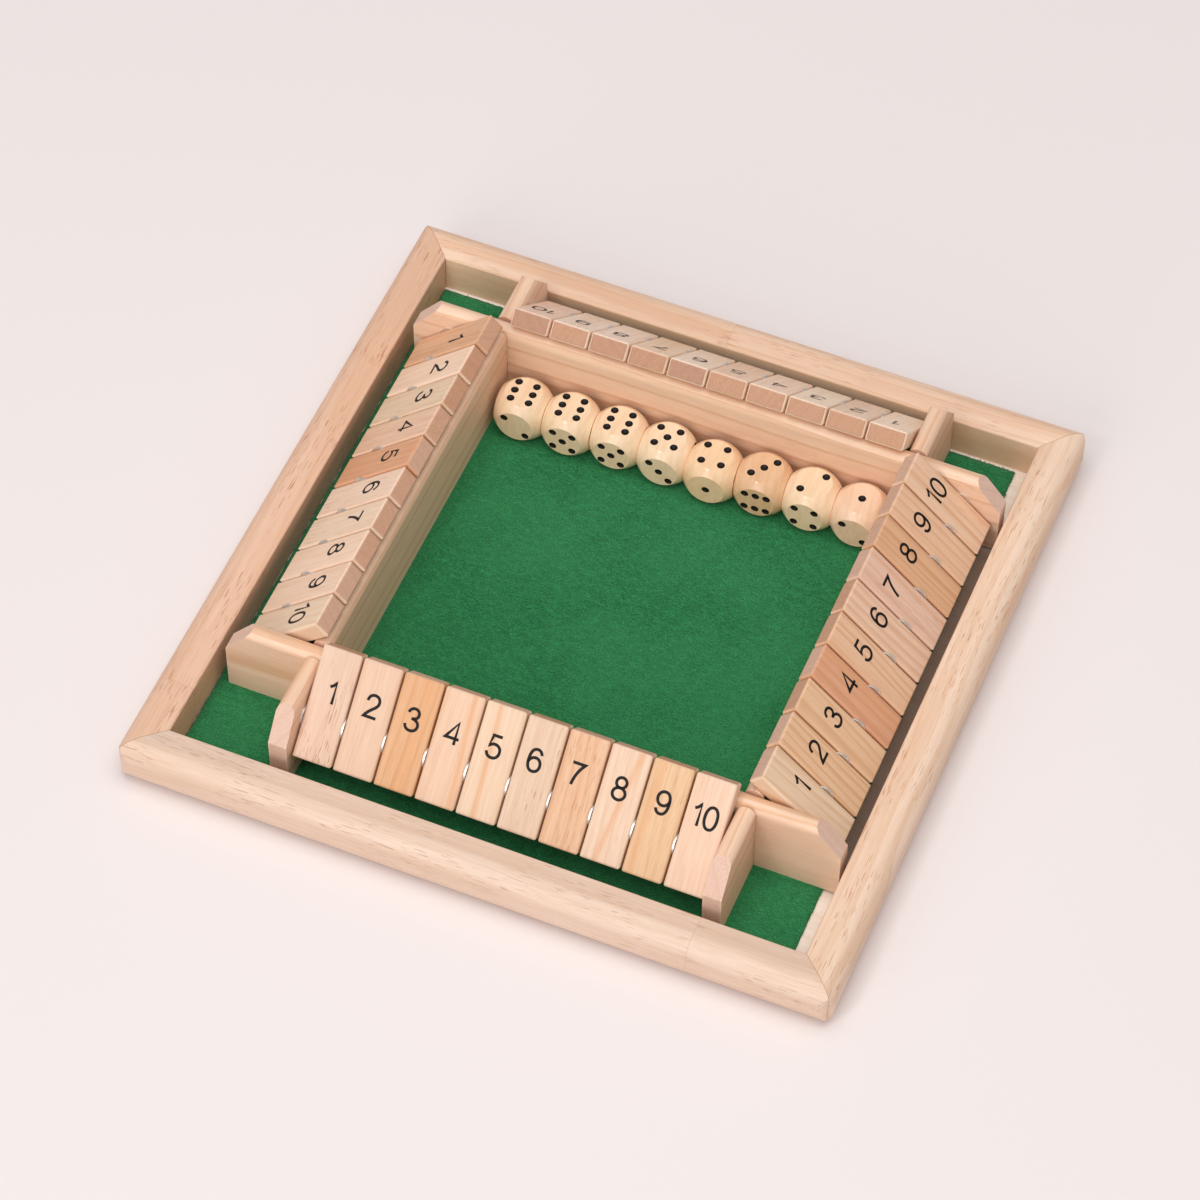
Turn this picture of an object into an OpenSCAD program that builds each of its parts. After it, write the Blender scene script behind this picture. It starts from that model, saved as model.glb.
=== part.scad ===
// Four-player shut the box: a square tray with a raised grid of dividers,
// a hinged row of ten numbered tiles along each side and eight dice.
// Origin at the middle of the underside, +Z up, millimetres.

/* [Frame] */
// Distance from the rods to the frame's inner wall, with the grid in the middle
rod_to_wall = 15.5; // [14:0.1:20]
// Width of each frame rail, seen from above
rail_w = 12.5; // [11.5:0.5:16]
// Height of the frame rails at their crest
rail_h = 17.2; // [15:0.1:20]
// How far the top of a rail falls from its crest to its inner edge
rail_fall = 1.1; // [0.5:0.1:2]
// Radius of the outer top edge of the rails
rail_top_r = 5.5; // [3:0.5:7]
// Radius of the outer bottom edge of the rails
rail_foot_r = 7; // [1:0.5:7]
// Radius of the inner top edge of the rails
rail_inner_r = 0.8; // [0.4:0.1:1.5]
// Radius of the upright outer corners
frame_corner_r = 4.5; // [1:0.5:6]

/* [Base and felt] */
// Thickness of the base board
base_t = 2; // [1.5:0.1:3]
// Depth of the rebate that holds the base board
rebate_d = 4; // [3:0.5:4.5]
// Clearance round the base board in its rebate
base_fit = 0.15; // [0.05:0.05:0.5]
// Thickness of the felt
felt_t = 1; // [0.5:0.1:1.5]
// Gap between the felt and the left and front walls
felt_gap = 0.15; // [0.05:0.05:2]
// Bare strip of base board beside the right wall
bare_right = 5.8; // [1:0.1:8]
// Bare strip of base board beside the back wall
bare_back = 1.4; // [0.5:0.1:4]

/* [Divider grid] */
// Thickness of the divider boards
divider_t = 5.8; // [5:0.1:7]
// Height of the divider boards, from the felt up
divider_h = 27.9; // [26:0.1:32]
// Radius of the long top edges of the dividers
divider_edge_r = 2.8; // [1:0.1:3.4]
// Room at each end of a divider board when the grid is centred
end_gap = 2.5; // [2:0.1:5]
// Length of the sloping cut on the upper corner of each end
chamfer_l = 8.5; // [5:0.5:10]
// Height of that sloping cut
chamfer_h = 10.5; // [5:0.5:12]
// Fit of one board in the notch of the other
notch_fit = 0.1; // [0.05:0.05:0.3]
// How far the grid sits to the right of the middle of the frame
grid_dx = 1.2; // [-1.5:0.1:1.5]
// How far the grid sits to the back of the middle of the frame
grid_dy = 1.7; // [-1.5:0.1:1.8]

/* [Tiles] */
// Width of a tile
tile_w = 12.4; // [10:0.1:15]
// Length of a tile above the rod
tile_upper_l = 22.4; // [20:0.1:23]
// Length of a tile below the rod
tile_lower_l = 12.4; // [10:0.1:14]
// Thickness of a tile
tile_t = 6; // [5:0.1:7]
// Radius of the edges of a tile
tile_edge_r = 0.8; // [0.3:0.1:1.5]
// Radius of the corners of a tile, looking at its number
tile_corner_r = 1; // [0.3:0.1:2]
// Gap left between a tile at rest and the divider it leans on
lean_gap = 0.12; // [0.05:0.01:0.3]

/* [Rods and washers] */
// Diameter of the pivot rods
rod_d = 3; // [2.5:0.1:3.4]
// Radial clearance of a tile on its rod
rod_play = 0.08; // [0.03:0.01:0.1]
// Depth that each rod end goes into a divider board
rod_socket = 4; // [3:0.1:4.5]
// Distance from the outer face of a divider to the rod axis
rod_out = 13.3; // [12.8:0.1:16]
// Height of the rod axis above the felt
rod_up = 18.15; // [16.5:0.05:19.5]
// Outer diameter of the spacer washers
washer_d = 7; // [6:0.1:9]
// Thickness of a spacer washer
washer_t = 0.5; // [0.3:0.1:1.5]
// Side play between a tile and the washer beside it
side_play = 0.065; // [0.04:0.005:0.3]

/* [Dice] */
// Edge length of a die
die_w = 15.8; // [14:0.1:18]
// Diameter of the flat left on each face of a die
die_flat_d = 11.9; // [11:0.1:13]
// Gap between neighbouring dice
die_gap = 0.15; // [0.12:0.01:0.3]
// Gap between a die and the felt it lies on
die_lie = 0.03; // [0.02:0.01:0.1]
// Gap between the back divider and the die nearest to it
die_back_gap = 1.3; // [0.6:0.1:2]
// Gap between the last die and the right divider, and the least at the other end of the row
die_end_gap = 1.1; // [0.6:0.1:3]
// How far the die that is most out of line stands in front of the others
die_stagger = 1.6; // [0:0.1:3]
// Distance of the pips of three, four and five from the middle lines of their face
pip_step = 3.2; // [2.6:0.1:3.3]
// The same for two and six, across the columns
pip_column = 3; // [2.6:0.1:3.1]
// The same for two and six, along the columns
pip_row = 3.5; // [3:0.1:3.6]
// Diameter of a pip at the face
pip_d = 2.5; // [1.8:0.1:2.6]
// Depth of a pip
pip_depth = 0.6; // [0.3:0.1:0.9]

/* [Hidden] */
$fn = 48;
cut = 1;
tile_count = 10;
rail_inner_h = rail_h - rail_fall;
felt_top = base_t + felt_t;
tile_pitch = tile_w + washer_t + 2 * side_play;
row_l = tile_count * tile_pitch + washer_t;
arena_half = row_l / 2;
divider_mid = arena_half + divider_t / 2;
divider_out = arena_half + divider_t;
divider_top = felt_top + divider_h;
divider_r = min(divider_edge_r, divider_t / 2 - 0.1);
rod_o = divider_out + rod_out;
rod_h = felt_top + rod_up;
inner_half = rod_o + rod_to_wall;
frame_w = 2 * (inner_half + rail_w);
divider_l = 2 * (inner_half - end_gap);
rod_l = 2 * (arena_half + rod_socket);
tile_l = tile_upper_l + tile_lower_l;

// Angle at which the underside of a tile just clears the rounded divider edge
edge_do = rod_o - (divider_out - divider_r);
edge_dz = divider_top - divider_r - rod_h;
edge_dist = sqrt(edge_do * edge_do + edge_dz * edge_dz);
edge_reach = tile_t / 2 + divider_r + lean_gap;
tile_lean = atan(edge_dz / edge_do) + asin(edge_reach / edge_dist);

// Dice, left to right: number on top, number in front, share of the stagger, turn in degrees
DICE = [
    [6, 2, 0.9, 1], [6, 5, 0.75, 1.5], [6, 5, 0.3, 2], [5, 3, 0.45, 2.5],
    [4, 1, 1, 2.5], [3, 6, 0.2, 2], [2, 4, 0, 1.5], [1, 2, 0, 1]
];
// Direction of each number, one to six, from the middle of a die
FACE_AXES = [[1, 0, 0], [0, 1, 0], [0, 0, 1], [0, 0, -1], [0, -1, 0], [-1, 0, 0]];
die_ball_r = norm([die_w, die_flat_d]) / 2;
die_pitch = die_w + die_gap;
die_last_x = arena_half - die_end_gap - die_w / 2;
die_line_y = arena_half - die_back_gap - die_w / 2;
die_z = felt_top + die_lie + die_w / 2;
// The dice that don't fit in the row along the back divider start another in front of it
dice_per_row = floor((2 * (arena_half - die_end_gap) + die_gap) / die_pitch);
die_row_step = die_w + die_stagger + die_back_gap;
pip_ball_r = (pip_d * pip_d / 4 + pip_depth * pip_depth) / (2 * pip_depth);

// Sides of the square, in the order that quarter turns bring them round
SIDES = ["front", "right", "back", "left"];
function turn_of(side) = [for (i = [0:3]) if (SIDES[i] == side) 90 * i][0];

WOOD = [0.94, 0.80, 0.67];
WOOD_DARK = [0.89, 0.70, 0.54];
PLY = [0.93, 0.86, 0.77];
FELT = [0.10, 0.44, 0.22];
STEEL = [0.78, 0.79, 0.80];
DICE_COLOUR = [0.93, 0.82, 0.62];

// Moves its children into the grid, turned to the given side
module on_side(side) {
    translate([grid_dx, grid_dy, 0]) rotate([0, 0, turn_of(side)]) children();
}

// What rounding off a square corner takes away; inward points from the corner into the shape
module corner_waste(corner, inward, r) {
    difference() {
        translate(corner - [r, r]) square(2 * r);
        translate(corner + r * inward) circle(r);
    }
}

// Rectangle from the origin with a radius of its own on each corner:
// lower left, lower right, upper right, upper left
module soft_rect(w, h, r) {
    corners = [[0, 0], [w, 0], [w, h], [0, h]];
    inward = [[1, 1], [-1, 1], [-1, -1], [1, -1]];
    difference() {
        square([w, h]);
        for (i = [0:3]) if (r[i] > 0) corner_waste(corners[i], inward[i], r[i]);
    }
}

// Cross-section of a rail, from its inner face outwards: the top slopes up to the round outer edge
module rail_section() {
    round_at = [rail_w - rail_top_r, rail_h - rail_top_r];
    slope = rail_slope();
    slope_end = round_at + rail_top_r * [-sin(slope), cos(slope)];
    r = rail_inner_r;
    inner_at = [r, rail_inner_h + r * tan(slope) - r / cos(slope)];
    inner_end = inner_at + r * [-sin(slope), cos(slope)];
    difference() {
        union() {
            polygon([
                [0, 0], [rail_w, 0], [rail_w, round_at[1]], round_at, slope_end, [0, rail_inner_h]
            ]);
            translate(round_at) circle(rail_top_r);
        }
        difference() {
            polygon([
                [-cut, inner_at[1]], inner_at, inner_end, [inner_end[0], rail_h], [-cut, rail_h]
            ]);
            translate(inner_at) circle(r);
        }
        corner_waste([rail_w, 0], [-1, 1], rail_foot_r);
        translate([-cut, -cut]) square([rebate_d + cut, base_t + base_fit + cut]);
    }
}

// Slope of the line from the inner top edge that just touches the round outer edge
function rail_slope() = let (
        along = rail_w - rail_top_r,
        down = rail_inner_h - rail_h + rail_top_r
    ) asin(rail_top_r / norm([along, down])) - atan(down / along);

// Rounds off the four upright corners of the frame
module frame_outline() {
    half = frame_w / 2;
    linear_extrude(rail_h) translate([-half, -half])
        soft_rect(frame_w, frame_w, [for (i = [0:3]) frame_corner_r]);
}

// One rail of the frame, mitred at both ends
module frame_rail(side) {
    half = frame_w / 2;
    color(WOOD) intersection() {
        rotate([0, 0, turn_of(side)]) intersection() {
            translate([-half, -inner_half, 0]) rotate([0, 0, -90]) rotate([90, 0, 0])
                mirror([0, 0, 1]) linear_extrude(frame_w) rail_section();
            linear_extrude(rail_h) polygon([[-half, -half], [half, -half], [0, 0]]);
        }
        frame_outline();
    }
}

module base_board() {
    half = inner_half + rebate_d - base_fit;
    color(PLY) translate([-half, -half, 0]) cube([2 * half, 2 * half, base_t]);
}

module felt_mat() {
    start = -inner_half + felt_gap;
    color(FELT) translate([start, start, base_t])
        cube([inner_half - bare_right - start, inner_half - bare_back - start, felt_t]);
}

// One divider board along X: rounded top edges and chamfered ends
module divider_board() {
    r = divider_r;
    half = divider_l / 2;
    side = [
        [-half, 0], [half, 0], [half, divider_h - chamfer_h], [half - chamfer_l, divider_h],
        [chamfer_l - half, divider_h], [-half, divider_h - chamfer_h]
    ];
    translate([0, 0, felt_top]) intersection() {
        rotate([90, 0, 0]) translate([0, 0, -divider_t / 2])
            linear_extrude(divider_t) polygon(side);
        translate([-half, -divider_t / 2, 0]) rotate([90, 0, 90])
            linear_extrude(divider_l) soft_rect(divider_t, divider_h, [0, 0, r, r]);
    }
}

// Blind holes for the rod that the two boards either side of a row hold
module rod_sockets() {
    for (s = [-1, 1]) translate([s * rod_o, 0, rod_h]) rotate([90, 0, 0])
        cylinder(d = rod_d, h = rod_socket);
}

// Front and back boards: notched from below, so their tops run through
module cross_divider(side) {
    slot_h = divider_h / 2 + notch_fit;
    slot_w = divider_t + 2 * notch_fit;
    color(WOOD_DARK) on_side(side) difference() {
        translate([0, -divider_mid, 0]) divider_board();
        for (s = [-1, 1])
            translate([s * divider_mid - slot_w / 2, -divider_out - cut, felt_top - cut])
                cube([slot_w, divider_t + 2 * cut, slot_h + cut]);
        translate([0, -arena_half, 0]) rod_sockets();
    }
}

// Left and right boards: notched from above
module side_divider(side) {
    slot_w = divider_t + 2 * notch_fit;
    slot_z = felt_top + divider_h / 2 - notch_fit;
    color(WOOD) on_side(side) difference() {
        translate([0, -divider_mid, 0]) divider_board();
        for (s = [-1, 1])
            translate([s * divider_mid - slot_w / 2, -divider_out - cut, slot_z])
                cube([slot_w, divider_t + 2 * cut, divider_h]);
        translate([0, -arena_half, 0]) rod_sockets();
    }
}

module front_divider() cross_divider("front");
module back_divider() cross_divider("back");
module left_divider() side_divider("left");
module right_divider() side_divider("right");

// One rod a side, through ten tiles and eleven washers
module pivot_rods() {
    color(STEEL) for (side = SIDES) on_side(side)
        translate([-rod_l / 2, -rod_o, rod_h]) rotate([0, 90, 0]) cylinder(d = rod_d, h = rod_l);
}

module washer() {
    rotate([0, 90, 0]) difference() {
        cylinder(d = washer_d, h = washer_t);
        translate([0, 0, -cut]) cylinder(d = rod_d, h = washer_t + 2 * cut);
    }
}

module spacer_washers() {
    color(STEEL) for (side = SIDES) on_side(side) for (i = [0:tile_count])
        translate([-arena_half + i * tile_pitch, -rod_o, rod_h]) washer();
}

// A tile lying flat: the rod hole is at the origin, along X, and +Y is the upper end
module tile_blank() {
    r = [for (i = [0:3]) tile_edge_r];
    corner_r = [for (i = [0:3]) tile_corner_r];
    difference() {
        intersection() {
            translate([-tile_w / 2, -tile_lower_l, -tile_t / 2])
                linear_extrude(tile_t) soft_rect(tile_w, tile_l, corner_r);
            translate([-tile_w / 2, tile_upper_l, -tile_t / 2]) rotate([90, 0, 0])
                linear_extrude(tile_l) soft_rect(tile_w, tile_t, r);
            translate([-tile_w / 2, -tile_lower_l, -tile_t / 2]) rotate([90, 0, 90])
                linear_extrude(tile_w) soft_rect(tile_l, tile_t, r);
        }
        translate([-tile_w / 2 - cut, 0, 0]) rotate([0, 90, 0])
            cylinder(d = rod_d + 2 * rod_play, h = tile_w + 2 * cut);
    }
}

// Tile number k of a row, at rest on its divider
module tile(side, k) {
    color(WOOD) on_side(side)
        translate([(k - (tile_count + 1) / 2) * tile_pitch, -rod_o, rod_h])
            rotate([tile_lean, 0, 0]) tile_blank();
}

// Pips of one number, on a face in the XY plane with its middle at the origin
module pips(n) {
    a = n == 2 || n == 6 ? pip_column : pip_step;
    b = n == 2 || n == 6 ? pip_row : pip_step;
    middle = n % 2 == 1 ? [[0, 0]] : [];
    slant = n > 1 ? [[-a, -b], [a, b]] : [];
    other = n > 3 ? [[-a, b], [a, -b]] : [];
    sides = n == 6 ? [[-a, 0], [a, 0]] : [];
    for (p = concat(middle, slant, other, sides))
        translate([p[0], p[1], pip_ball_r - pip_depth]) sphere(pip_ball_r);
}

function axis_of(n) = FACE_AXES[n - 1];
function face_at(v) = [for (n = [1:6]) if (axis_of(n) == v) n][0];
function opposite(n) = face_at(-axis_of(n));

// All the pips of a die: the number, the turn to its side and the turn within the face
module die_faces(top, front) {
    right = face_at(cross(axis_of(top), axis_of(front)));
    faces = [
        [top, [0, 0, 0], 0], [opposite(top), [180, 0, 0], 0],
        [front, [90, 0, 0], 90], [opposite(front), [-90, 0, 0], 90],
        [right, [0, 90, 0], 0], [opposite(right), [0, -90, 0], 0]
    ];
    for (f = faces) rotate(f[1]) translate([0, 0, die_w / 2]) rotate([0, 0, f[2]]) pips(f[0]);
}

module die(i) {
    d = DICE[i - 1];
    from_right = len(DICE) - i;
    x = die_last_x - from_right % dice_per_row * die_pitch;
    y = die_line_y - floor(from_right / dice_per_row) * die_row_step - d[2] * die_stagger;
    color(DICE_COLOUR) on_side("front") translate([x, y, die_z]) rotate([0, 0, d[3]]) difference() {
        intersection() {
            cube(die_w, center = true);
            sphere(die_ball_r);
        }
        die_faces(d[0], d[1]);
    }
}

for (side = SIDES) {
    frame_rail(side);
    for (k = [1:tile_count])
        tile(side, k);
}
for (i = [1:len(DICE)]) die(i);
base_board();
felt_mat();
front_divider();
back_divider();
left_divider();
right_divider();
pivot_rods();
spacer_washers();
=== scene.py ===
"""Looks for the shut the box game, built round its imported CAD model."""

import math
import random

import bmesh
import bpy
from mathutils import Matrix, Vector


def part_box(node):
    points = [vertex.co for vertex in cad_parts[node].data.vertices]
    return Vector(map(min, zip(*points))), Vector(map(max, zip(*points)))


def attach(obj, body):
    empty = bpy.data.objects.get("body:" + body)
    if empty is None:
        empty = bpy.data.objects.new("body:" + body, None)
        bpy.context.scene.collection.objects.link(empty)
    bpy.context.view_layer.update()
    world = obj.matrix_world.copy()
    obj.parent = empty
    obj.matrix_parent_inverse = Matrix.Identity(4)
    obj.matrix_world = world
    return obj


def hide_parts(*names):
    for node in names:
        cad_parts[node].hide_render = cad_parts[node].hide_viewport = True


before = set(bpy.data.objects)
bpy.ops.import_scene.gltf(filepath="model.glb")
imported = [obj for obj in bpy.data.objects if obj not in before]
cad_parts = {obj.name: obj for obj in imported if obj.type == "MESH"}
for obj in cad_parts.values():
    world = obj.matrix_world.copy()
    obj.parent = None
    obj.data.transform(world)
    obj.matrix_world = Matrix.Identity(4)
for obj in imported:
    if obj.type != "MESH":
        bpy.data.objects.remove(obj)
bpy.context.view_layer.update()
scene = bpy.context.scene
MM = 0.001

# Sizes that scene and CAD share, in millimetres
GRID = (1.2, 1.7)
ROD_OUT = 84.5
ROD_H = 21.15
TILE_W, TILE_UP, TILE_DOWN, TILE_T = 12.4, 22.4, 12.4, 6.0
LEAN = math.radians(43.079)
PITCH = 13.03
SIDES = {"front": 0, "right": 1, "back": 2, "left": 3}
DIE_W = 15.8
PIP_STEP = 3.2
PIP_COLUMN, PIP_ROW = 3.0, 3.5
PIP_D = 2.5
# Number on top, number in front, turn in degrees
DICE = [(6, 2, 1), (6, 5, 1.5), (6, 5, 2), (5, 3, 2.5), (4, 1, 2.5), (3, 6, 2), (2, 4, 1.5), (1, 2, 1)]


def linear(r, g, b):
    """A colour given as 0 to 255 screen values."""
    def one(v):
        v /= 255
        return v / 12.92 if v <= 0.04045 else ((v + 0.055) / 1.055) ** 2.4
    return (one(r), one(g), one(b), 1.0)


class Nodes:
    """Short names for building a material's nodes."""

    def __init__(self, name):
        self.mat = bpy.data.materials.new(name)
        self.mat.use_nodes = True
        self.tree = self.mat.node_tree
        self.tree.nodes.clear()
        self.out = self.tree.nodes.new("ShaderNodeOutputMaterial")
        self.shader = self.tree.nodes.new("ShaderNodeBsdfPrincipled")
        self.tree.links.new(self.shader.outputs[0], self.out.inputs[0])

    def put(self, socket, value):
        if isinstance(value, bpy.types.NodeSocket):
            self.tree.links.new(value, socket)
        elif value is not None:
            socket.default_value = value

    def coords(self, which="Object"):
        return self.tree.nodes.new("ShaderNodeTexCoord").outputs[which]

    def mapping(self, vector, loc=(0, 0, 0), rot=(0, 0, 0), scale=(1, 1, 1)):
        n = self.tree.nodes.new("ShaderNodeMapping")
        self.put(n.inputs["Vector"], vector)
        n.inputs["Location"].default_value = loc
        n.inputs["Rotation"].default_value = rot
        n.inputs["Scale"].default_value = scale
        return n.outputs[0]

    def noise(self, vector, scale=1.0, detail=2.0, rough=0.5, distortion=0.0, colour=False):
        n = self.tree.nodes.new("ShaderNodeTexNoise")
        self.put(n.inputs["Vector"], vector)
        n.inputs["Scale"].default_value = scale
        n.inputs["Detail"].default_value = detail
        n.inputs["Roughness"].default_value = rough
        n.inputs["Distortion"].default_value = distortion
        return n.outputs["Color" if colour else "Fac"]

    def math(self, op, a, b=None, c=None, clamp=False):
        n = self.tree.nodes.new("ShaderNodeMath")
        n.operation = op
        n.use_clamp = clamp
        for socket, v in zip(n.inputs, (a, b, c)):
            self.put(socket, v)
        return n.outputs[0]

    def vec(self, op, a, b=None, out=0):
        n = self.tree.nodes.new("ShaderNodeVectorMath")
        n.operation = op
        self.put(n.inputs[0], a)
        if b is not None:
            self.put(n.inputs[1], b)
        return n.outputs[out]

    def step(self, value, lo, hi, to_lo=0.0, to_hi=1.0, smooth=True):
        n = self.tree.nodes.new("ShaderNodeMapRange")
        n.interpolation_type = "SMOOTHSTEP" if smooth else "LINEAR"
        for socket, v in zip(n.inputs, (value, lo, hi, to_lo, to_hi)):
            self.put(socket, v)
        return n.outputs[0]

    def mix(self, fac, a, b, blend="MIX"):
        n = self.tree.nodes.new("ShaderNodeMix")
        n.data_type = "RGBA"
        n.blend_type = blend
        self.put(n.inputs[0], fac)
        self.put(n.inputs[6], a)
        self.put(n.inputs[7], b)
        return n.outputs[2]

    def bump(self, height, strength, distance):
        n = self.tree.nodes.new("ShaderNodeBump")
        n.inputs["Strength"].default_value = strength
        n.inputs["Distance"].default_value = distance
        self.put(n.inputs["Height"], height)
        self.put(self.shader.inputs["Normal"], n.outputs[0])

    def set(self, **values):
        for key, v in values.items():
            self.put(self.shader.inputs[key.replace("_", " ")], v)


class Wood(Nodes):
    """Planed wood in the piece's own space: X along the piece, or along Y when across is set."""

    def __init__(self, name, tone, space, box, seed, across=False, line=0.3, spacing=3.0, fleck=0.5,
                 figure=0.4, band=None, joint=None, mitre=False, rough=0.5, end=None, warp=10.0, tall=False, cut_from=(0.72, 0.93),
                 extra=None):
        super().__init__(name)
        rng = random.Random(seed)
        light = tone + (1,)
        dark = tuple(c * m for c, m in zip(tone, (0.80, 0.63, 0.47))) + (1,)
        deep = tuple(c * m for c, m in zip(tone, (0.55, 0.34, 0.22))) + (1,)
        grain = (0, 0, math.radians(-90)) if across else (0, 0, 0)
        turn, shift = space
        local = self.mapping(self.coords(), loc=shift, rot=turn, scale=(1000, 1000, 1000))
        facing = self.mapping(self.mapping(self.coords("Normal"), rot=turn), rot=grain)
        raw = self.mapping(local, rot=grain)
        if joint is not None:
            # Another board starts past the finger joint
            past = self.math("GREATER_THAN", self.parts(raw)[0], joint)
            raw_or = raw
            raw = self.vec("ADD", raw, self.join(0.0, self.math("MULTIPLY", past, 37.0), self.math("MULTIPLY", past, 23.0)))
        at = self.mapping(raw, loc=(rng.uniform(-300, 300), 0, 0))
        # Growth rings round a wandering pith
        sway = self.noise(self.mapping(at, scale=(0.010, 0.03, 0.03)), 1.0, 1.0, colour=True)
        sway = self.vec("MULTIPLY", self.vec("SUBTRACT", sway, (0.5, 0.5, 0.5)), (0, warp, warp))
        far, near = rng.uniform(14, 32) * rng.choice((-1, 1)), rng.uniform(4, 14) * rng.choice((-1, 1))
        pith = (0, near, far) if tall else (0, far, near)
        rings = self.vec("LENGTH", self.vec("MULTIPLY", self.vec("ADD", self.vec("ADD", at, sway), pith), (0, 1, 1)), out=1)
        wide = self.noise(self.join(0.0, self.math("MULTIPLY", rings, 0.21), float(seed % 97)), 1.0, 1.0)
        phase = self.math("FRACT", self.math("ADD", self.math("DIVIDE", rings, spacing), self.math("MULTIPLY", wide, 2.2)))
        late = self.math("MULTIPLY", self.step(phase, 0.42, 0.93), self.step(phase, 0.93, 1.0, 1.0, 0.0))
        broad = self.noise(self.mapping(at, scale=(0.010, 0.16, 0.16)), 1.0, 2.0, 0.5, 0.3)
        fibres = self.noise(self.mapping(at, scale=(0.10, 2.6, 2.6)), 1.0, 3.0, 0.6)
        # Short brown dashes, in loose groups
        dash = self.noise(self.mapping(at, scale=(0.21, 2.9, 2.9)), 1.0, 0.0)
        group = self.noise(self.mapping(at, scale=(0.035, 0.11, 0.11)), 1.0, 1.0)
        dashes = self.math("MULTIPLY", self.step(dash, 0.665, 0.72), self.step(group, 0.56 - 0.14 * fleck, 0.70 - 0.14 * fleck))
        dashes = self.math("MULTIPLY", dashes, fleck)
        colour = self.mix(self.math("MULTIPLY", self.step(broad, 0.36, 0.66), figure * 0.6), light, dark)
        colour = self.mix(self.math("MULTIPLY", late, line), colour, dark)
        colour = self.mix(self.step(fibres, 0.30, 0.72, 0.0, 0.20), colour, dark, "MULTIPLY")
        if band:
            place, slope, half, strength = band
            x, y, z = self.parts(local)
            off = self.math("SUBTRACT", self.math("SUBTRACT", x, place), self.math("MULTIPLY", y, slope))
            off = self.math("ABSOLUTE", self.math("ADD", off, self.math("MULTIPLY", self.math("SUBTRACT", broad, 0.5), 3.0)))
            streak = self.step(off, 0.0, half, strength, 0.0)
            colour = self.mix(streak, colour, linear(222, 158, 108))
        colour = self.mix(self.math("MULTIPLY", dashes, 0.75), colour, deep)
        # Sawn ends: pores and ring lines instead of fibres
        if end is None:
            end = tuple(c * m for c, m in zip(tone, (0.72, 0.60, 0.53)))
        end_dark = tuple(c * m for c, m in zip(end, (0.80, 0.70, 0.62))) + (1,)
        pores = self.noise(at, 3.0, 3.0, 0.8)
        cut = self.mix(self.step(pores, 0.38, 0.64, 0.0, 0.75), end + (1,), end_dark)
        cut = self.mix(self.math("MULTIPLY", late, 0.28), cut, end_dark)
        endness = self.step(self.math("ABSOLUTE", self.parts(facing)[0]), *cut_from)
        colour = self.mix(endness, colour, cut)
        # Edges rubbed a little paler and smoother
        middle, half = box
        gap = self.vec("SUBTRACT", half, self.vec("ABSOLUTE", self.vec("SUBTRACT", local, middle)))
        gx, gy, gz = self.parts(gap)
        edge = self.math("MAXIMUM", self.math("MINIMUM", gx, gy), self.math("MINIMUM", self.math("MAXIMUM", gx, gy), gz))
        edge = self.math("ADD", edge, self.math("MULTIPLY", pores, 0.5))
        worn = self.step(edge, 0.35, 1.0, 1.0, 0.0)
        pale = tuple(min(1, c * m) for c, m in zip(tone, (1.04, 1.05, 1.06))) + (1,)
        colour = self.mix(self.math("MULTIPLY", worn, 0.42), colour, pale)
        if joint is not None:
            away = self.math("ABSOLUTE", self.math("SUBTRACT", self.parts(raw_or)[0], joint))
            colour = self.mix(self.step(away, 0.08, 0.24, 0.20, 0.0), colour, deep)
            # Glue streaks that end at the joint
            near = self.step(away, 0.4, 5.0, 1.0, 0.0)
            thin = self.noise(self.mapping(raw_or, scale=(0.12, 1.7, 1.7)), 1.0, 1.0)
            colour = self.mix(self.math("MULTIPLY", near, self.step(thin, 0.55, 0.68, 0.0, 0.42)), colour, deep)
        if extra:
            colour = extra(self, local, colour)
        if mitre:
            x, y, z = self.parts(local)
            off = self.math("ABSOLUTE", self.math("SUBTRACT", self.math("ABSOLUTE", x), self.math("ABSOLUTE", y)))
            colour = self.mix(self.step(off, 0.08, 0.26, 0.50, 0.0), colour, linear(150, 104, 76))
        self.set(Base_Color=colour)
        satin = self.step(fibres, 0.3, 0.7, rough - 0.05, rough + 0.08)
        self.put(self.shader.inputs["Roughness"], self.math("SUBTRACT", satin, self.math("MULTIPLY", worn, 0.05)))
        self.set(Specular_IOR_Level=0.38)
        relief = self.math("ADD", fibres, self.math("MULTIPLY", late, -0.5))
        relief = self.math("ADD", relief, self.math("MULTIPLY", self.math("MULTIPLY", pores, endness), 1.2))
        self.bump(relief, 0.12, 0.0002)

    def parts(self, vector):
        n = self.tree.nodes.new("ShaderNodeSeparateXYZ")
        self.put(n.inputs[0], vector)
        return n.outputs

    def join(self, x, y, z):
        n = self.tree.nodes.new("ShaderNodeCombineXYZ")
        for socket, v in zip(n.inputs, (x, y, z)):
            self.put(socket, v)
        return n.outputs[0]


def paint_node(name, material):
    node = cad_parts[name]
    node.data.materials.clear()
    node.data.materials.append(material)


def tone(r, g, b):
    return linear(r, g, b)[:3]


def side_space(side, grid=False):
    """Brings a piece of that side into the front side's place, in millimetres."""
    m = Matrix.Rotation(math.radians(-90 * SIDES[side]), 4, "Z")
    if grid:
        m = m @ Matrix.Translation((-GRID[0], -GRID[1], 0))
    return tuple(m.to_euler()), tuple(m.translation)


def tile_place(side, i):
    """From a tile's own space, rod at the origin and length along Y, to its place in millimetres."""
    return (Matrix.Translation((GRID[0], GRID[1], 0)) @ Matrix.Rotation(math.radians(90 * SIDES[side]), 4, "Z")
            @ Matrix.Translation(((i - 5.5) * PITCH, -ROD_OUT, ROD_H)) @ Matrix.Rotation(LEAN, 4, "X"))


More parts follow.
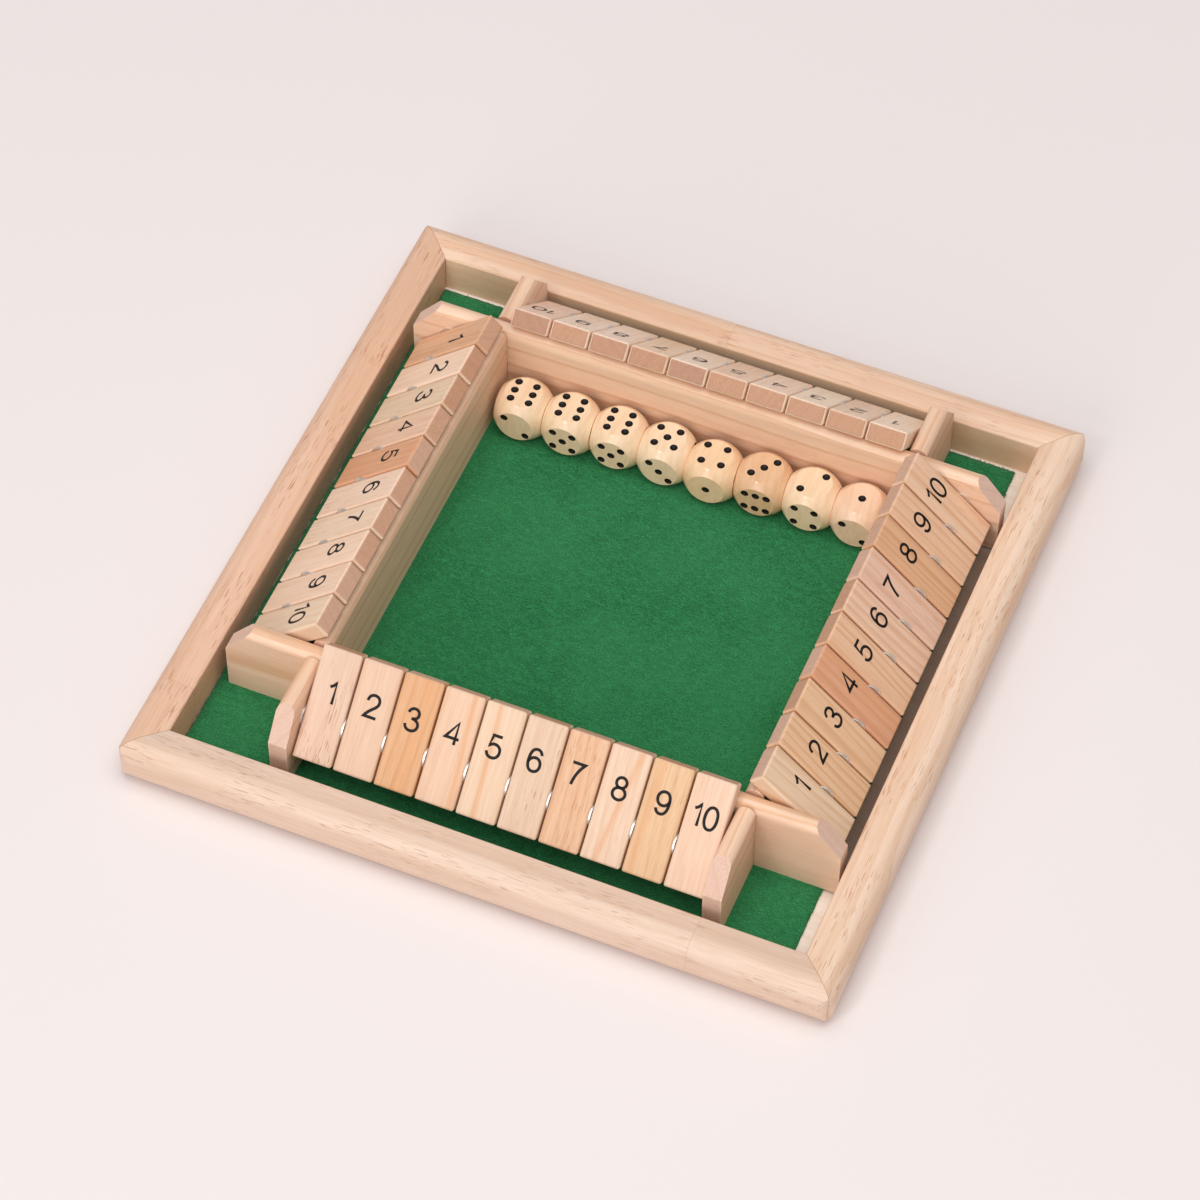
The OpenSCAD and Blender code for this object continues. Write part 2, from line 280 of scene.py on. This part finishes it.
def paler_inside(n, local, colour):
    """Painted light: the back rail's inner wall is painted paler and warmer than its top, standing in for light that
    falls on it.
    """
    x, y, z = n.parts(local)
    lit_wall_mask = n.math("MULTIPLY", n.step(y, -100.5, -100.1), n.step(z, 15.5, 16.6, 1.0, 0.0))
    return n.mix(n.math("MULTIPLY", lit_wall_mask, 0.45), colour, linear(255, 226, 188))


# Rails: pale maple-like wood, finger jointed in places, mitred at the corners
RAILS = {
    "front": dict(tone=tone(232, 206, 187), seed=11, joint=68.3, line=0.20, spacing=3.6, fleck=0.75, figure=0.3),
    "right": dict(tone=tone(243, 215, 192), seed=27, line=0.34, spacing=4.5, fleck=0.9, figure=0.7, warp=18.0),
    # The back rail carries painted light on its inner wall
    "back": dict(tone=tone(244, 211, 186), seed=35, joint=3.9, line=0.42, spacing=4.0, fleck=0.7, figure=0.6,
                 extra=paler_inside),
    "left": dict(tone=tone(235, 197, 171), seed=43, joint=84.2, line=0.22, spacing=3.8, fleck=0.9, figure=0.5),
}
for side, look in RAILS.items():
    m = Wood(f"rail_{side}", space=side_space(side), box=((0, -106.25, 8.6), (112.5, 6.25, 8.6)), mitre=True,
             rough=0.46, end=tone(214, 170, 142), **look)
    paint_node(f"frame_rail_{side}", m.mat)
for side, seed in (("front", 51), ("right", 52), ("back", 53), ("left", 54)):
    look = dict(tone=tone(245, 211, 184), line=0.62, spacing=4.4, fleck=0.25, figure=0.3, warp=5.0, rough=0.48, tall=True,
                cut_from=(0.58, 0.76))
    m = Wood(f"divider_{side}", space=side_space(side, True), seed=seed, end=tone(229, 195, 177),
             box=((0, -68.3, 16.95), (97.5, 2.9, 13.95)), **look)
    paint_node(f"{side}_divider", m.mat)
def shaded(n, local, colour):
    """Painted shade: the base is darker in a strip under the right row's lower tile ends, where the tile row casts
    shadow.
    """
    x, y, z = n.parts(local)
    trough_shade_mask = n.math("MULTIPLY", n.step(x, 92.0, 93.0), n.step(n.math("ABSOLUTE", y), 64.0, 72.0, 1.0, 0.0))
    return n.mix(n.math("MULTIPLY", trough_shade_mask, 0.8), colour, linear(140, 102, 78))


# The plywood base, with painted shade under the right row
m = Wood("base_ply", tone(255, 247, 238), ((0, 0, 0), (0, 0, 0)), ((0, 0, 1), (103.85, 103.85, 1)), 61,
         line=0.2, spacing=5.0, fleck=0.2, rough=0.6, extra=shaded)
paint_node("base_board", m.mat)

# Named tones of the tile wood
WOODS = {
    "pale": (232, 199, 172), "rose": (231, 200, 178), "cream": (238, 209, 182), "amber": (226, 177, 137),
    "honey": (231, 191, 154), "tan": (237, 195, 160), "rust": (226, 172, 134), "sienna": (230, 181, 144),
    "pink": (236, 197, 173), "blush": (246, 216, 192), "sand": (240, 202, 172), "milk": (253, 227, 207),
}
# Tiles 1 to 10: tone, strength and spacing of the growth lines, dashes, and a stained streak for some
TILES = {
    "front": [("rose", 0.22, 3.0, 1.0, None), ("pale", 0.16, 3.4, 0.1, None),
              ("amber", 0.50, 3.1, 0.3, (2.0, 0.02, 2.6, 0.5)), ("pale", 0.18, 3.6, 0.15, (4.2, -0.05, 1.6, 0.6)),
              ("cream", 0.20, 3.2, 0.1, (-0.6, -0.04, 1.3, 0.55)), ("rose", 0.20, 2.6, 1.0, None),
              ("honey", 0.40, 2.6, 0.6, None), ("cream", 0.28, 3.2, 0.2, (0.5, 0.14, 1.8, 0.5)),
              ("honey", 0.30, 2.8, 0.4, (-3.5, 0.03, 1.6, 0.4)), ("cream", 0.18, 3.4, 0.2, None)],
    "right": [("cream", 0.50, 3.0, 0.2, None), ("tan", 0.62, 2.5, 0.2, None),
              ("tan", 0.50, 3.2, 0.2, None), ("rust", 0.40, 3.0, 0.4, (3.2, 0.03, 2.0, 0.5)),
              ("tan", 0.60, 2.6, 0.2, None), ("sand", 0.55, 3.0, 0.2, None),
              ("pink", 0.30, 3.6, 0.5, (3.4, 0.02, 1.4, 0.4)), ("sienna", 0.60, 2.6, 0.2, None),
              ("tan", 0.50, 3.2, 0.3, None), ("sand", 0.45, 3.4, 0.3, (-2.0, 0.05, 1.2, 0.4))],
    "back": [(shade, 0.2, 3.0, 0.4, None) for shade in
             ("milk", "blush", "milk", "milk", "blush", "milk", "blush", "milk", "milk", "blush")],
    "left": [("sienna", 0.35, 3.0, 0.4, None), ("blush", 0.22, 3.2, 0.4, None),
             ("cream", 0.22, 3.0, 0.6, None), ("sand", 0.28, 2.8, 0.4, None),
             ("rust", 0.30, 3.0, 0.3, None), ("blush", 0.18, 3.2, 0.6, None),
             ("blush", 0.22, 3.0, 0.5, None), ("blush", 0.18, 3.2, 0.4, None),
             ("blush", 0.22, 3.0, 0.5, None), ("cream", 0.22, 3.0, 0.4, None)],
}
TILE_ENDS = {
    "front": ((214, 172, 148), (222, 182, 160), (206, 160, 132)),
    "right": ((216, 176, 154), (222, 184, 164), (208, 164, 138)),
    "back": ((200, 151, 122), (205, 156, 126), (193, 147, 121)),
    "left": ((221, 174, 146), (214, 163, 133), (222, 180, 156)),
}
rng = random.Random(5)
for side, rows in TILES.items():
    for i, (shade, line_mix, gap, dash, band) in enumerate(rows, 1):
        back = tile_place(side, i).inverted()
        name = f"tile_{side}_{i}"
        m = Wood(name, tone(*(c + rng.uniform(-2, 2) for c in WOODS[shade])),
                 (tuple(back.to_euler()), tuple(back.translation)),
                 ((0, (TILE_UP - TILE_DOWN) / 2, 0), (TILE_W / 2, (TILE_UP + TILE_DOWN) / 2, TILE_T / 2)),
                 SIDES[side] * 1000 + i * 37, across=True, line=line_mix, spacing=gap, fleck=dash, figure=0.3, band=band,
                 end=tone(*rng.choice(TILE_ENDS[side])), warp=9.0, rough=0.47)
        paint_node(name, m.mat)


def metal():
    n = Nodes("rod_steel")
    at = n.mapping(n.coords(), scale=(1000, 1000, 1000))
    turned = n.noise(n.mapping(at, scale=(0.3, 0.3, 0.8)), 1.0, 2.0)
    n.set(Metallic=1.0)
    n.set(Base_Color=n.mix(n.step(turned, 0.3, 0.7), linear(244, 243, 242), linear(222, 221, 221)))
    n.put(n.shader.inputs["Roughness"], n.step(turned, 0.3, 0.7, 0.34, 0.48))
    n.bump(turned, 0.02, 0.0001)
    return n.mat


steel = metal()
paint_node("pivot_rods", steel)
paint_node("spacer_washers", steel)


def dice_wood(name, body, centre, seed):
    """Varnished blocks: pale wood, a little darker and greener on the six flats."""
    n = Nodes(name)
    rng = random.Random(seed)
    mm = n.mapping(n.coords(), loc=tuple(-c * 1000 for c in centre), scale=(1000, 1000, 1000))
    at = n.mapping(mm, loc=(rng.uniform(-90, 90), rng.uniform(-90, 90), rng.uniform(-90, 90)), rot=(rng.uniform(-0.2, 0.2), 0, rng.uniform(-0.15, 0.15)))
    light = body + (1,)
    dark = tuple(c * m for c, m in zip(body, (0.84, 0.74, 0.60))) + (1,)
    figure = n.noise(n.mapping(at, scale=(0.75, 0.05, 0.28)), 1.0, 3.0, 0.55, 0.2)
    fibres = n.noise(n.mapping(at, scale=(2.6, 0.18, 2.6)), 1.0, 2.0, 0.6)
    colour = n.mix(n.step(figure, 0.36, 0.68, 0.0, 0.42), light, dark)
    colour = n.mix(n.step(fibres, 0.3, 0.75, 0.0, 0.16), colour, dark, "MULTIPLY")
    sep = n.tree.nodes.new("ShaderNodeSeparateXYZ")
    n.put(sep.inputs[0], n.vec("ABSOLUTE", mm))
    flat = n.math("MAXIMUM", n.math("MAXIMUM", sep.outputs[0], sep.outputs[1]), sep.outputs[2])
    flat = n.step(flat, DIE_W / 2 - 0.16, DIE_W / 2 - 0.02)
    colour = n.mix(n.math("MULTIPLY", flat, 0.06), colour, tuple(c * m for c, m in zip(body, (0.84, 0.82, 0.72))) + (1,))
    n.set(Base_Color=colour, Coat_Weight=0.6, Coat_Roughness=0.14)
    n.put(n.shader.inputs["Roughness"], n.step(fibres, 0.3, 0.7, 0.38, 0.5))
    n.bump(fibres, 0.05, 0.0002)
    return n.mat


DIE_TONE = {4: (252, 223, 190), 5: (251, 215, 176), 6: (237, 194, 154), 8: (249, 213, 184)}
for i in range(1, 9):
    low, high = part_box(f"die_{i}")
    paint_node(f"die_{i}", dice_wood(f"die_{i}", tone(*DIE_TONE.get(i, (252, 222, 188))), (low + high) / 2, i))


def black_paint():
    n = Nodes("black_paint")
    at = n.mapping(n.coords(), scale=(1000, 1000, 1000))
    wet = n.noise(at, 2.2, 3.0, 0.6)
    n.set(Base_Color=n.mix(n.step(wet, 0.3, 0.7), linear(14, 10, 10), linear(26, 19, 18)), Specular_IOR_Level=0.25)
    n.put(n.shader.inputs["Roughness"], n.step(wet, 0.3, 0.7, 0.42, 0.6))
    n.bump(wet, 0.1, 0.0001)
    return n.mat


black = black_paint()


def new_mesh(name, verts, faces, material):
    mesh = bpy.data.meshes.new(name)
    mesh.from_pydata([tuple(v) for v in verts], [], faces)
    mesh.materials.append(material)
    obj = bpy.data.objects.new(name, mesh)
    scene.collection.objects.link(obj)
    return obj


# Digits, as centre lines of thin strokes: each is a list of points or Bezier curves in a unit-high box
def curve(*p):
    """A smooth line through cubic Bezier pieces: start, then three points for each piece."""
    out = [Vector(p[0])]
    for k in range(1, len(p), 3):
        a, b, c, d = out[-1], *(Vector(q) for q in p[k:k + 3])
        for j in range(1, 13):
            t = j / 12
            out.append(a * (1 - t) ** 3 + 3 * b * t * (1 - t) ** 2 + 3 * c * t * t * (1 - t) + d * t ** 3)
    return out


def line(*p):
    return [Vector(q) for q in p]


def loop(cx, cy, rx, ry, power=1.0):
    pts = []
    for j in range(49):
        a = 2 * math.pi * j / 48
        c, s = math.cos(a), math.sin(a)
        pts.append(Vector((cx + rx * math.copysign(abs(c) ** power, c), cy + ry * math.copysign(abs(s) ** power, s))))
    return pts


SIX = [curve((0.57, 0.78), (0.54, 0.92), (0.45, 1.0), (0.33, 1.0), (0.12, 1.0), (0.03, 0.80), (0.03, 0.46), (0.03, 0.16), (0.13, 0.0), (0.32, 0.0), (0.49, 0.0), (0.60, 0.13), (0.60, 0.31), (0.60, 0.49), (0.49, 0.62), (0.33, 0.62), (0.17, 0.62), (0.05, 0.50), (0.03, 0.34))]
GLYPHS = {
    "0": [loop(0.31, 0.5, 0.28, 0.5, 0.9)],
    "1": [curve((0.10, 0.75), (0.22, 0.80), (0.32, 0.89), (0.37, 1.0)) + line((0.37, 0.0))],
    "2": [curve((0.03, 0.70), (0.04, 0.90), (0.15, 1.0), (0.31, 1.0), (0.48, 1.0), (0.58, 0.88), (0.58, 0.72), (0.58, 0.46), (0.18, 0.34), (0.02, 0.0)) + line((0.60, 0.0))],
    "3": [curve((0.05, 0.78), (0.08, 0.92), (0.17, 1.0), (0.30, 1.0), (0.45, 1.0), (0.54, 0.90), (0.54, 0.77), (0.54, 0.62), (0.42, 0.54), (0.24, 0.54)), curve((0.24, 0.54), (0.46, 0.54), (0.60, 0.44), (0.60, 0.27), (0.60, 0.10), (0.47, 0.0), (0.30, 0.0), (0.14, 0.0), (0.03, 0.09), (0.01, 0.26))],
    "4": [line((0.47, 0.0), (0.47, 1.0), (0.0, 0.28), (0.64, 0.28))],
    "5": [line((0.56, 1.0), (0.15, 1.0)) + curve((0.06, 0.50), (0.12, 0.58), (0.21, 0.62), (0.31, 0.62), (0.48, 0.62), (0.60, 0.50), (0.60, 0.32), (0.60, 0.12), (0.47, 0.0), (0.30, 0.0), (0.14, 0.0), (0.03, 0.09), (0.01, 0.25))],
    "6": SIX,
    "7": [line((0.02, 0.98), (0.60, 0.98)) + curve((0.60, 0.97), (0.42, 0.78), (0.24, 0.42), (0.19, 0.0))[1:]],
    "8": [loop(0.31, 0.765, 0.235, 0.235), loop(0.31, 0.27, 0.29, 0.27)],
    "9": [[Vector((0.62 - p.x, 1.0 - p.y)) for p in SIX[0]]],
}
DIGIT_H = 6.6
STROKE = 0.92


def ribbon(points, width, verts, faces):
    """Adds a flat strip of that width along the points, mitred at its bends."""
    pts = [p for k, p in enumerate(points) if k == 0 or (p - points[k - 1]).length > 1e-4]
    closed = (pts[0] - pts[-1]).length < 1e-3
    if closed:
        pts = pts[:-1]
    count = len(pts)
    first = len(verts)
    for k, p in enumerate(pts):
        before = pts[k - 1] if (k > 0 or closed) else None
        after = pts[(k + 1) % count] if (k < count - 1 or closed) else None
        d1 = (p - before).normalized() if before is not None else (after - p).normalized()
        d2 = (after - p).normalized() if after is not None else d1
        n1, n2 = Vector((-d1.y, d1.x)), Vector((-d2.y, d2.x))
        m = (n1 + n2)
        m = m / max(0.35, m.length_squared / 2) if m.length > 1e-6 else n1
        verts.append(p + m * width / 2)
        verts.append(p - m * width / 2)
    for k in range(count if closed else count - 1):
        a, b = first + 2 * k, first + 2 * ((k + 1) % count)
        faces.append((a + 1, b + 1, b, a))


def number_mesh(text):
    """Flat outline of a number, centred on the origin, in millimetres."""
    verts, faces = [], []
    offset = 0.0
    for ch in text:
        for stroke in GLYPHS[ch]:
            ribbon([Vector((p.x * DIGIT_H + offset, p.y * DIGIT_H)) for p in stroke], STROKE, verts, faces)
        offset += DIGIT_H * (0.60 if ch == "1" else 0.78)
    xs, ys = [v.x for v in verts], [v.y for v in verts]
    mid = Vector(((min(xs) + max(xs)) / 2, DIGIT_H / 2))
    return [v - mid for v in verts], faces


# Where the numbers sit across their tiles, in millimetres from the middle
ACROSS = {
    "front": (0.3, 0, -0.1, -0.7, -0.4, -0.75, -0.4, -0.3, -0.1, 0),
    "right": (1.7, 1.3, 1.3, 1.1, 1.0, 1.0, 0.3, 0.8, 0.3, -0.1),
    "back": (0.2, -0.3, 0.1, -0.4, 0.3, 0.0, -0.2, 0.4, -0.1, 0.1),
    "left": (0.3, -0.1, -0.7, -1.0, -1.2, -0.7, -0.7, -1.2, -0.7, -1.0),
}
RISE = {"front": (9.2, 10.6), "right": (9.2, 10.6), "back": (9.9, 9.9), "left": (9.8, 10.1)}
for side in SIDES:
    for i in range(1, 11):
        flat, faces = number_mesh(str(i))
        dx = ACROSS[side][i - 1]
        dy = RISE[side][0] + (RISE[side][1] - RISE[side][0]) * (i - 1) / 9
        verts = [tile_place(side, i) @ Vector((v.x + dx, v.y + dy, TILE_T / 2 + 0.03)) * MM for v in flat]
        digits = new_mesh(f"number_{side}_{i}", verts, faces, black)
        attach(digits, f"tile_{side}_{i}")


# Pips: black dimples just inside the recesses of the CAD dice
def axis_of(n):
    return Vector((n == 1, n == 2, n == 3)) if n < 4 else -axis_of(7 - n)


def face_at(v):
    s = round(v.x + 2 * v.y + 3 * v.z)
    return s if s > 0 else 7 + s


def pip_places(n):
    a, b = (PIP_COLUMN, PIP_ROW) if n in (2, 6) else (PIP_STEP, PIP_STEP)
    spots = [(0, 0)] if n % 2 else []
    spots += [(-a, -b), (a, b)] if n > 1 else []
    spots += [(-a, b), (a, -b)] if n > 3 else []
    spots += [(-a, 0), (a, 0)] if n == 6 else []
    return spots


def dimple(spot, turn, verts, faces, depth=0.55, rings=5, around=24):
    """A shallow bowl with its rim on the face."""
    r = PIP_D / 2 - 0.02
    first = len(verts)
    verts.append(turn @ Vector((spot[0], spot[1], -depth)))
    for j in range(1, rings + 1):
        t = j / rings
        for a in range(around):
            w = 2 * math.pi * a / around
            at = Vector((spot[0] + r * t * math.cos(w), spot[1] + r * t * math.sin(w), -depth * (1 - t * t)))
            verts.append(turn @ at)
    for a in range(around):
        faces.append((first, first + 1 + a, first + 1 + (a + 1) % around))
    for j in range(rings - 1):
        for a in range(around):
            p, q = first + 1 + j * around, first + 1 + (j + 1) * around
            faces.append((p + a, q + a, q + (a + 1) % around, p + (a + 1) % around))


for i, (top, front, yaw) in enumerate(DICE, 1):
    right = face_at(axis_of(top).cross(axis_of(front)))
    low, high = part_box(f"die_{i}")
    middle = (low + high) / 2
    verts, faces = [], []
    for n, rot, spin in ((top, (0, 0, 0), 0), (7 - top, (180, 0, 0), 0), (front, (90, 0, 0), 90),
                         (7 - front, (-90, 0, 0), 90), (right, (0, 90, 0), 0), (7 - right, (0, -90, 0), 0)):
        turn = (Matrix.Rotation(math.radians(yaw), 4, "Z")
                @ Matrix.Rotation(math.radians(rot[1]), 4, "Y") @ Matrix.Rotation(math.radians(rot[0]), 4, "X")
                @ Matrix.Translation((0, 0, DIE_W / 2)) @ Matrix.Rotation(math.radians(spin), 4, "Z"))
        for spot in pip_places(n):
            dimple(spot, turn, verts, faces)
    pips = new_mesh(f"pips_{i}", [middle + v * MM for v in verts], faces, black)
    for p in pips.data.polygons:
        p.use_smooth = True
    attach(pips, f"die_{i}")


def felt_material():
    n = Nodes("green_felt")
    at = n.mapping(n.coords(), scale=(1000, 1000, 1000))
    # Two layers of short fibres lying across each other, over a soft mottle
    one = n.noise(n.mapping(at, rot=(0, 0, 0.5), scale=(0.7, 2.6, 1)), 1.0, 3.0, 0.65, 0.8)
    two = n.noise(n.mapping(at, rot=(0, 0, -0.35), scale=(0.9, 3.2, 1)), 1.0, 2.0, 0.6, 1.0)
    mottle = n.noise(n.mapping(at, rot=(0, 0, 0.2), scale=(0.22, 0.5, 1)), 1.0, 3.0, 0.65)
    wide = n.noise(at, 0.03, 2.0)
    specks = n.noise(n.mapping(at, rot=(0, 0, 0.3), scale=(2.2, 4.5, 1)), 1.0, 1.0)
    colour = n.mix(n.step(one, 0.28, 0.72), linear(8, 80, 40), linear(42, 140, 82))
    colour = n.mix(n.step(two, 0.45, 0.75, 0.0, 0.55), colour, linear(66, 156, 98))
    colour = n.mix(n.step(mottle, 0.40, 0.62, 0.0, 0.42), colour, linear(12, 92, 48))
    colour = n.mix(n.step(wide, 0.35, 0.65, 0.0, 0.2), colour, linear(60, 150, 94))
    colour = n.mix(n.step(specks, 0.58, 0.72, 0.0, 0.5), colour, linear(104, 186, 132))
    colour = n.mix(n.step(specks, 0.30, 0.42, 0.5, 0.0), colour, linear(2, 62, 28))
    n.set(Base_Color=colour, Sheen_Weight=0.12, Sheen_Roughness=0.6, Specular_IOR_Level=0.08)
    n.put(n.shader.inputs["Roughness"], n.step(one, 0.3, 0.7, 0.85, 1.0))
    n.bump(n.math("ADD", one, n.math("MULTIPLY", two, 0.7)), 0.55, 0.0004)
    return n.mat


def felt_sheet():
    """The felt, a thin sheet with a slightly ragged cut edge."""
    low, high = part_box("felt_mat")
    count = 140
    rng = random.Random(3)
    rag = [[rng.uniform(0, 0.00022) for _ in range(count + 1)] for _ in range(4)]
    verts, faces = [], []
    for j in range(count + 1):
        for i in range(count + 1):
            x = low.x + (high.x - low.x) * i / count
            y = low.y + (high.y - low.y) * j / count
            if i == 0:
                x += rag[0][j]
            if i == count:
                x -= rag[1][j]
            if j == 0:
                y += rag[2][i]
            if j == count:
                y -= rag[3][i]
            rim = min(i, j, count - i, count - j) == 0
            verts.append((x, y, high.z - (0.0002 if rim else 0)))
    for j in range(count):
        for i in range(count):
            a = j * (count + 1) + i
            faces.append((a, a + 1, a + count + 2, a + count + 1))
    felt = felt_material()
    obj = new_mesh("felt_sheet", verts, faces, felt)
    bm = bmesh.new()
    bm.from_mesh(obj.data)
    made = bmesh.ops.extrude_edge_only(bm, edges=[e for e in bm.edges if e.is_boundary])["geom"]
    for v in made:
        if isinstance(v, bmesh.types.BMVert):
            v.co.z = low.z
    bm.to_mesh(obj.data)
    bm.free()
    for p in obj.data.polygons:
        p.use_smooth = True
    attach(obj, "box")
    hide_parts("felt_mat")
    # Loose threads along the cut edges
    verts, faces = [], []
    for _ in range(150):
        near = rng.random() < 0.4
        if rng.random() < 0.5:
            x, y = high.x, high.y - rng.uniform(0, 0.02 if near else 0.19)
            turn = rng.uniform(-1.1, 1.1)
        else:
            x, y = high.x - rng.uniform(0, 0.02 if near else 0.19), high.y
            turn = math.pi / 2 + rng.uniform(-1.1, 1.1)
        long = rng.uniform(0.0004, 0.0013)
        bend = rng.uniform(-1.2, 1.2)
        p = Vector((x, y, high.z - 0.0003)) - Vector((math.cos(turn), math.sin(turn), 0)) * long * 0.5
        line_of = []
        for q in range(5):
            line_of.append(p.copy())
            a = turn + bend * q / 4
            p = p + Vector((math.cos(a), math.sin(a), rng.uniform(-0.1, 0.25))) * long / 4
        first = len(verts)
        for q, p in enumerate(line_of):
            a = turn + bend * q / 4
            off = Vector((-math.sin(a), math.cos(a), 0)) * 0.00006
            verts += [p + off, p - off, p + Vector((0, 0, 0.00008))]
        for q in range(4):
            a, b = first + 3 * q, first + 3 * q + 3
            faces += [(a, b, b + 2, a + 2), (a + 2, b + 2, b + 1, a + 1), (a + 1, b + 1, b, a)]
    threads = new_mesh("felt_threads", verts, faces, felt)
    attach(threads, "box")
    return obj


felt_sheet()


def stage():
    mesh = bpy.data.meshes.new("floor")
    s = 3.0
    mesh.from_pydata([(-s, -s, 0), (s, -s, 0), (s, s, 0), (-s, s, 0)], [], [(0, 1, 2, 3)])
    floor = bpy.data.objects.new("floor", mesh)
    floor.location.z = -0.0002
    scene.collection.objects.link(floor)
    n = Nodes("floor")
    n.set(Base_Color=FLOOR, Roughness=0.9, Specular_IOR_Level=0.1)
    mesh.materials.append(n.mat)
    world = bpy.data.worlds.new("room")
    scene.world = world
    world.use_nodes = True
    world.node_tree.nodes["Background"].inputs[0].default_value = (1.0, 0.99, 0.985, 1)
    world.node_tree.nodes["Background"].inputs[1].default_value = WORLD
    for name, where, size, watts, colour in LAMPS:
        data = bpy.data.lights.new(name, "AREA")
        data.shape = "DISK"
        data.size = size
        data.energy = watts
        data.color = colour
        lamp = bpy.data.objects.new(name, data)
        lamp.location = where
        lamp.rotation_euler = (Vector((0, 0, 0)) - Vector(where)).to_track_quat("-Z", "Y").to_euler()
        scene.collection.objects.link(lamp)


FLOOR = linear(237, 229, 228)
WORLD = 0.40
LAMPS = [
    ("top", (0.15, -0.25, 2.0), 1.8, 23.0, (1.0, 0.990, 0.980)),
    ("front", (-0.45, -3.0, 1.2), 2.2, 34.0, (1.0, 0.990, 0.980)),
    ("key", (-0.42, -1.15, 1.45), 0.35, 3.5, (1.0, 0.990, 0.980)),
]
stage()


def camera():
    data = bpy.data.cameras.new("camera")
    data.sensor_width = 36
    data.lens = CAM_LENS
    data.clip_start = 0.01
    data.clip_end = 20
    cam = bpy.data.objects.new("camera", data)
    right, down, forward = (Vector(v) for v in CAM_ROWS)
    turn = Matrix((right, -down, -forward)).transposed()
    cam.matrix_world = Matrix.Translation(Vector(CAM_AT)) @ turn.to_4x4()
    scene.collection.objects.link(cam)
    scene.camera = cam


CAM_LENS = 131.955
CAM_AT = (0.298409, -0.743270, 1.071114)
CAM_ROWS = (
    (0.9231638094932307, 0.38436889625843346, 0.005397446713029219),
    (0.30995129800056026, -0.7359783247661859, -0.6018854528414249),
    (-0.22737364339279584, 0.5573118131382403, -0.7985641923019423),
)
camera()

scene.view_settings.view_transform = "Standard"
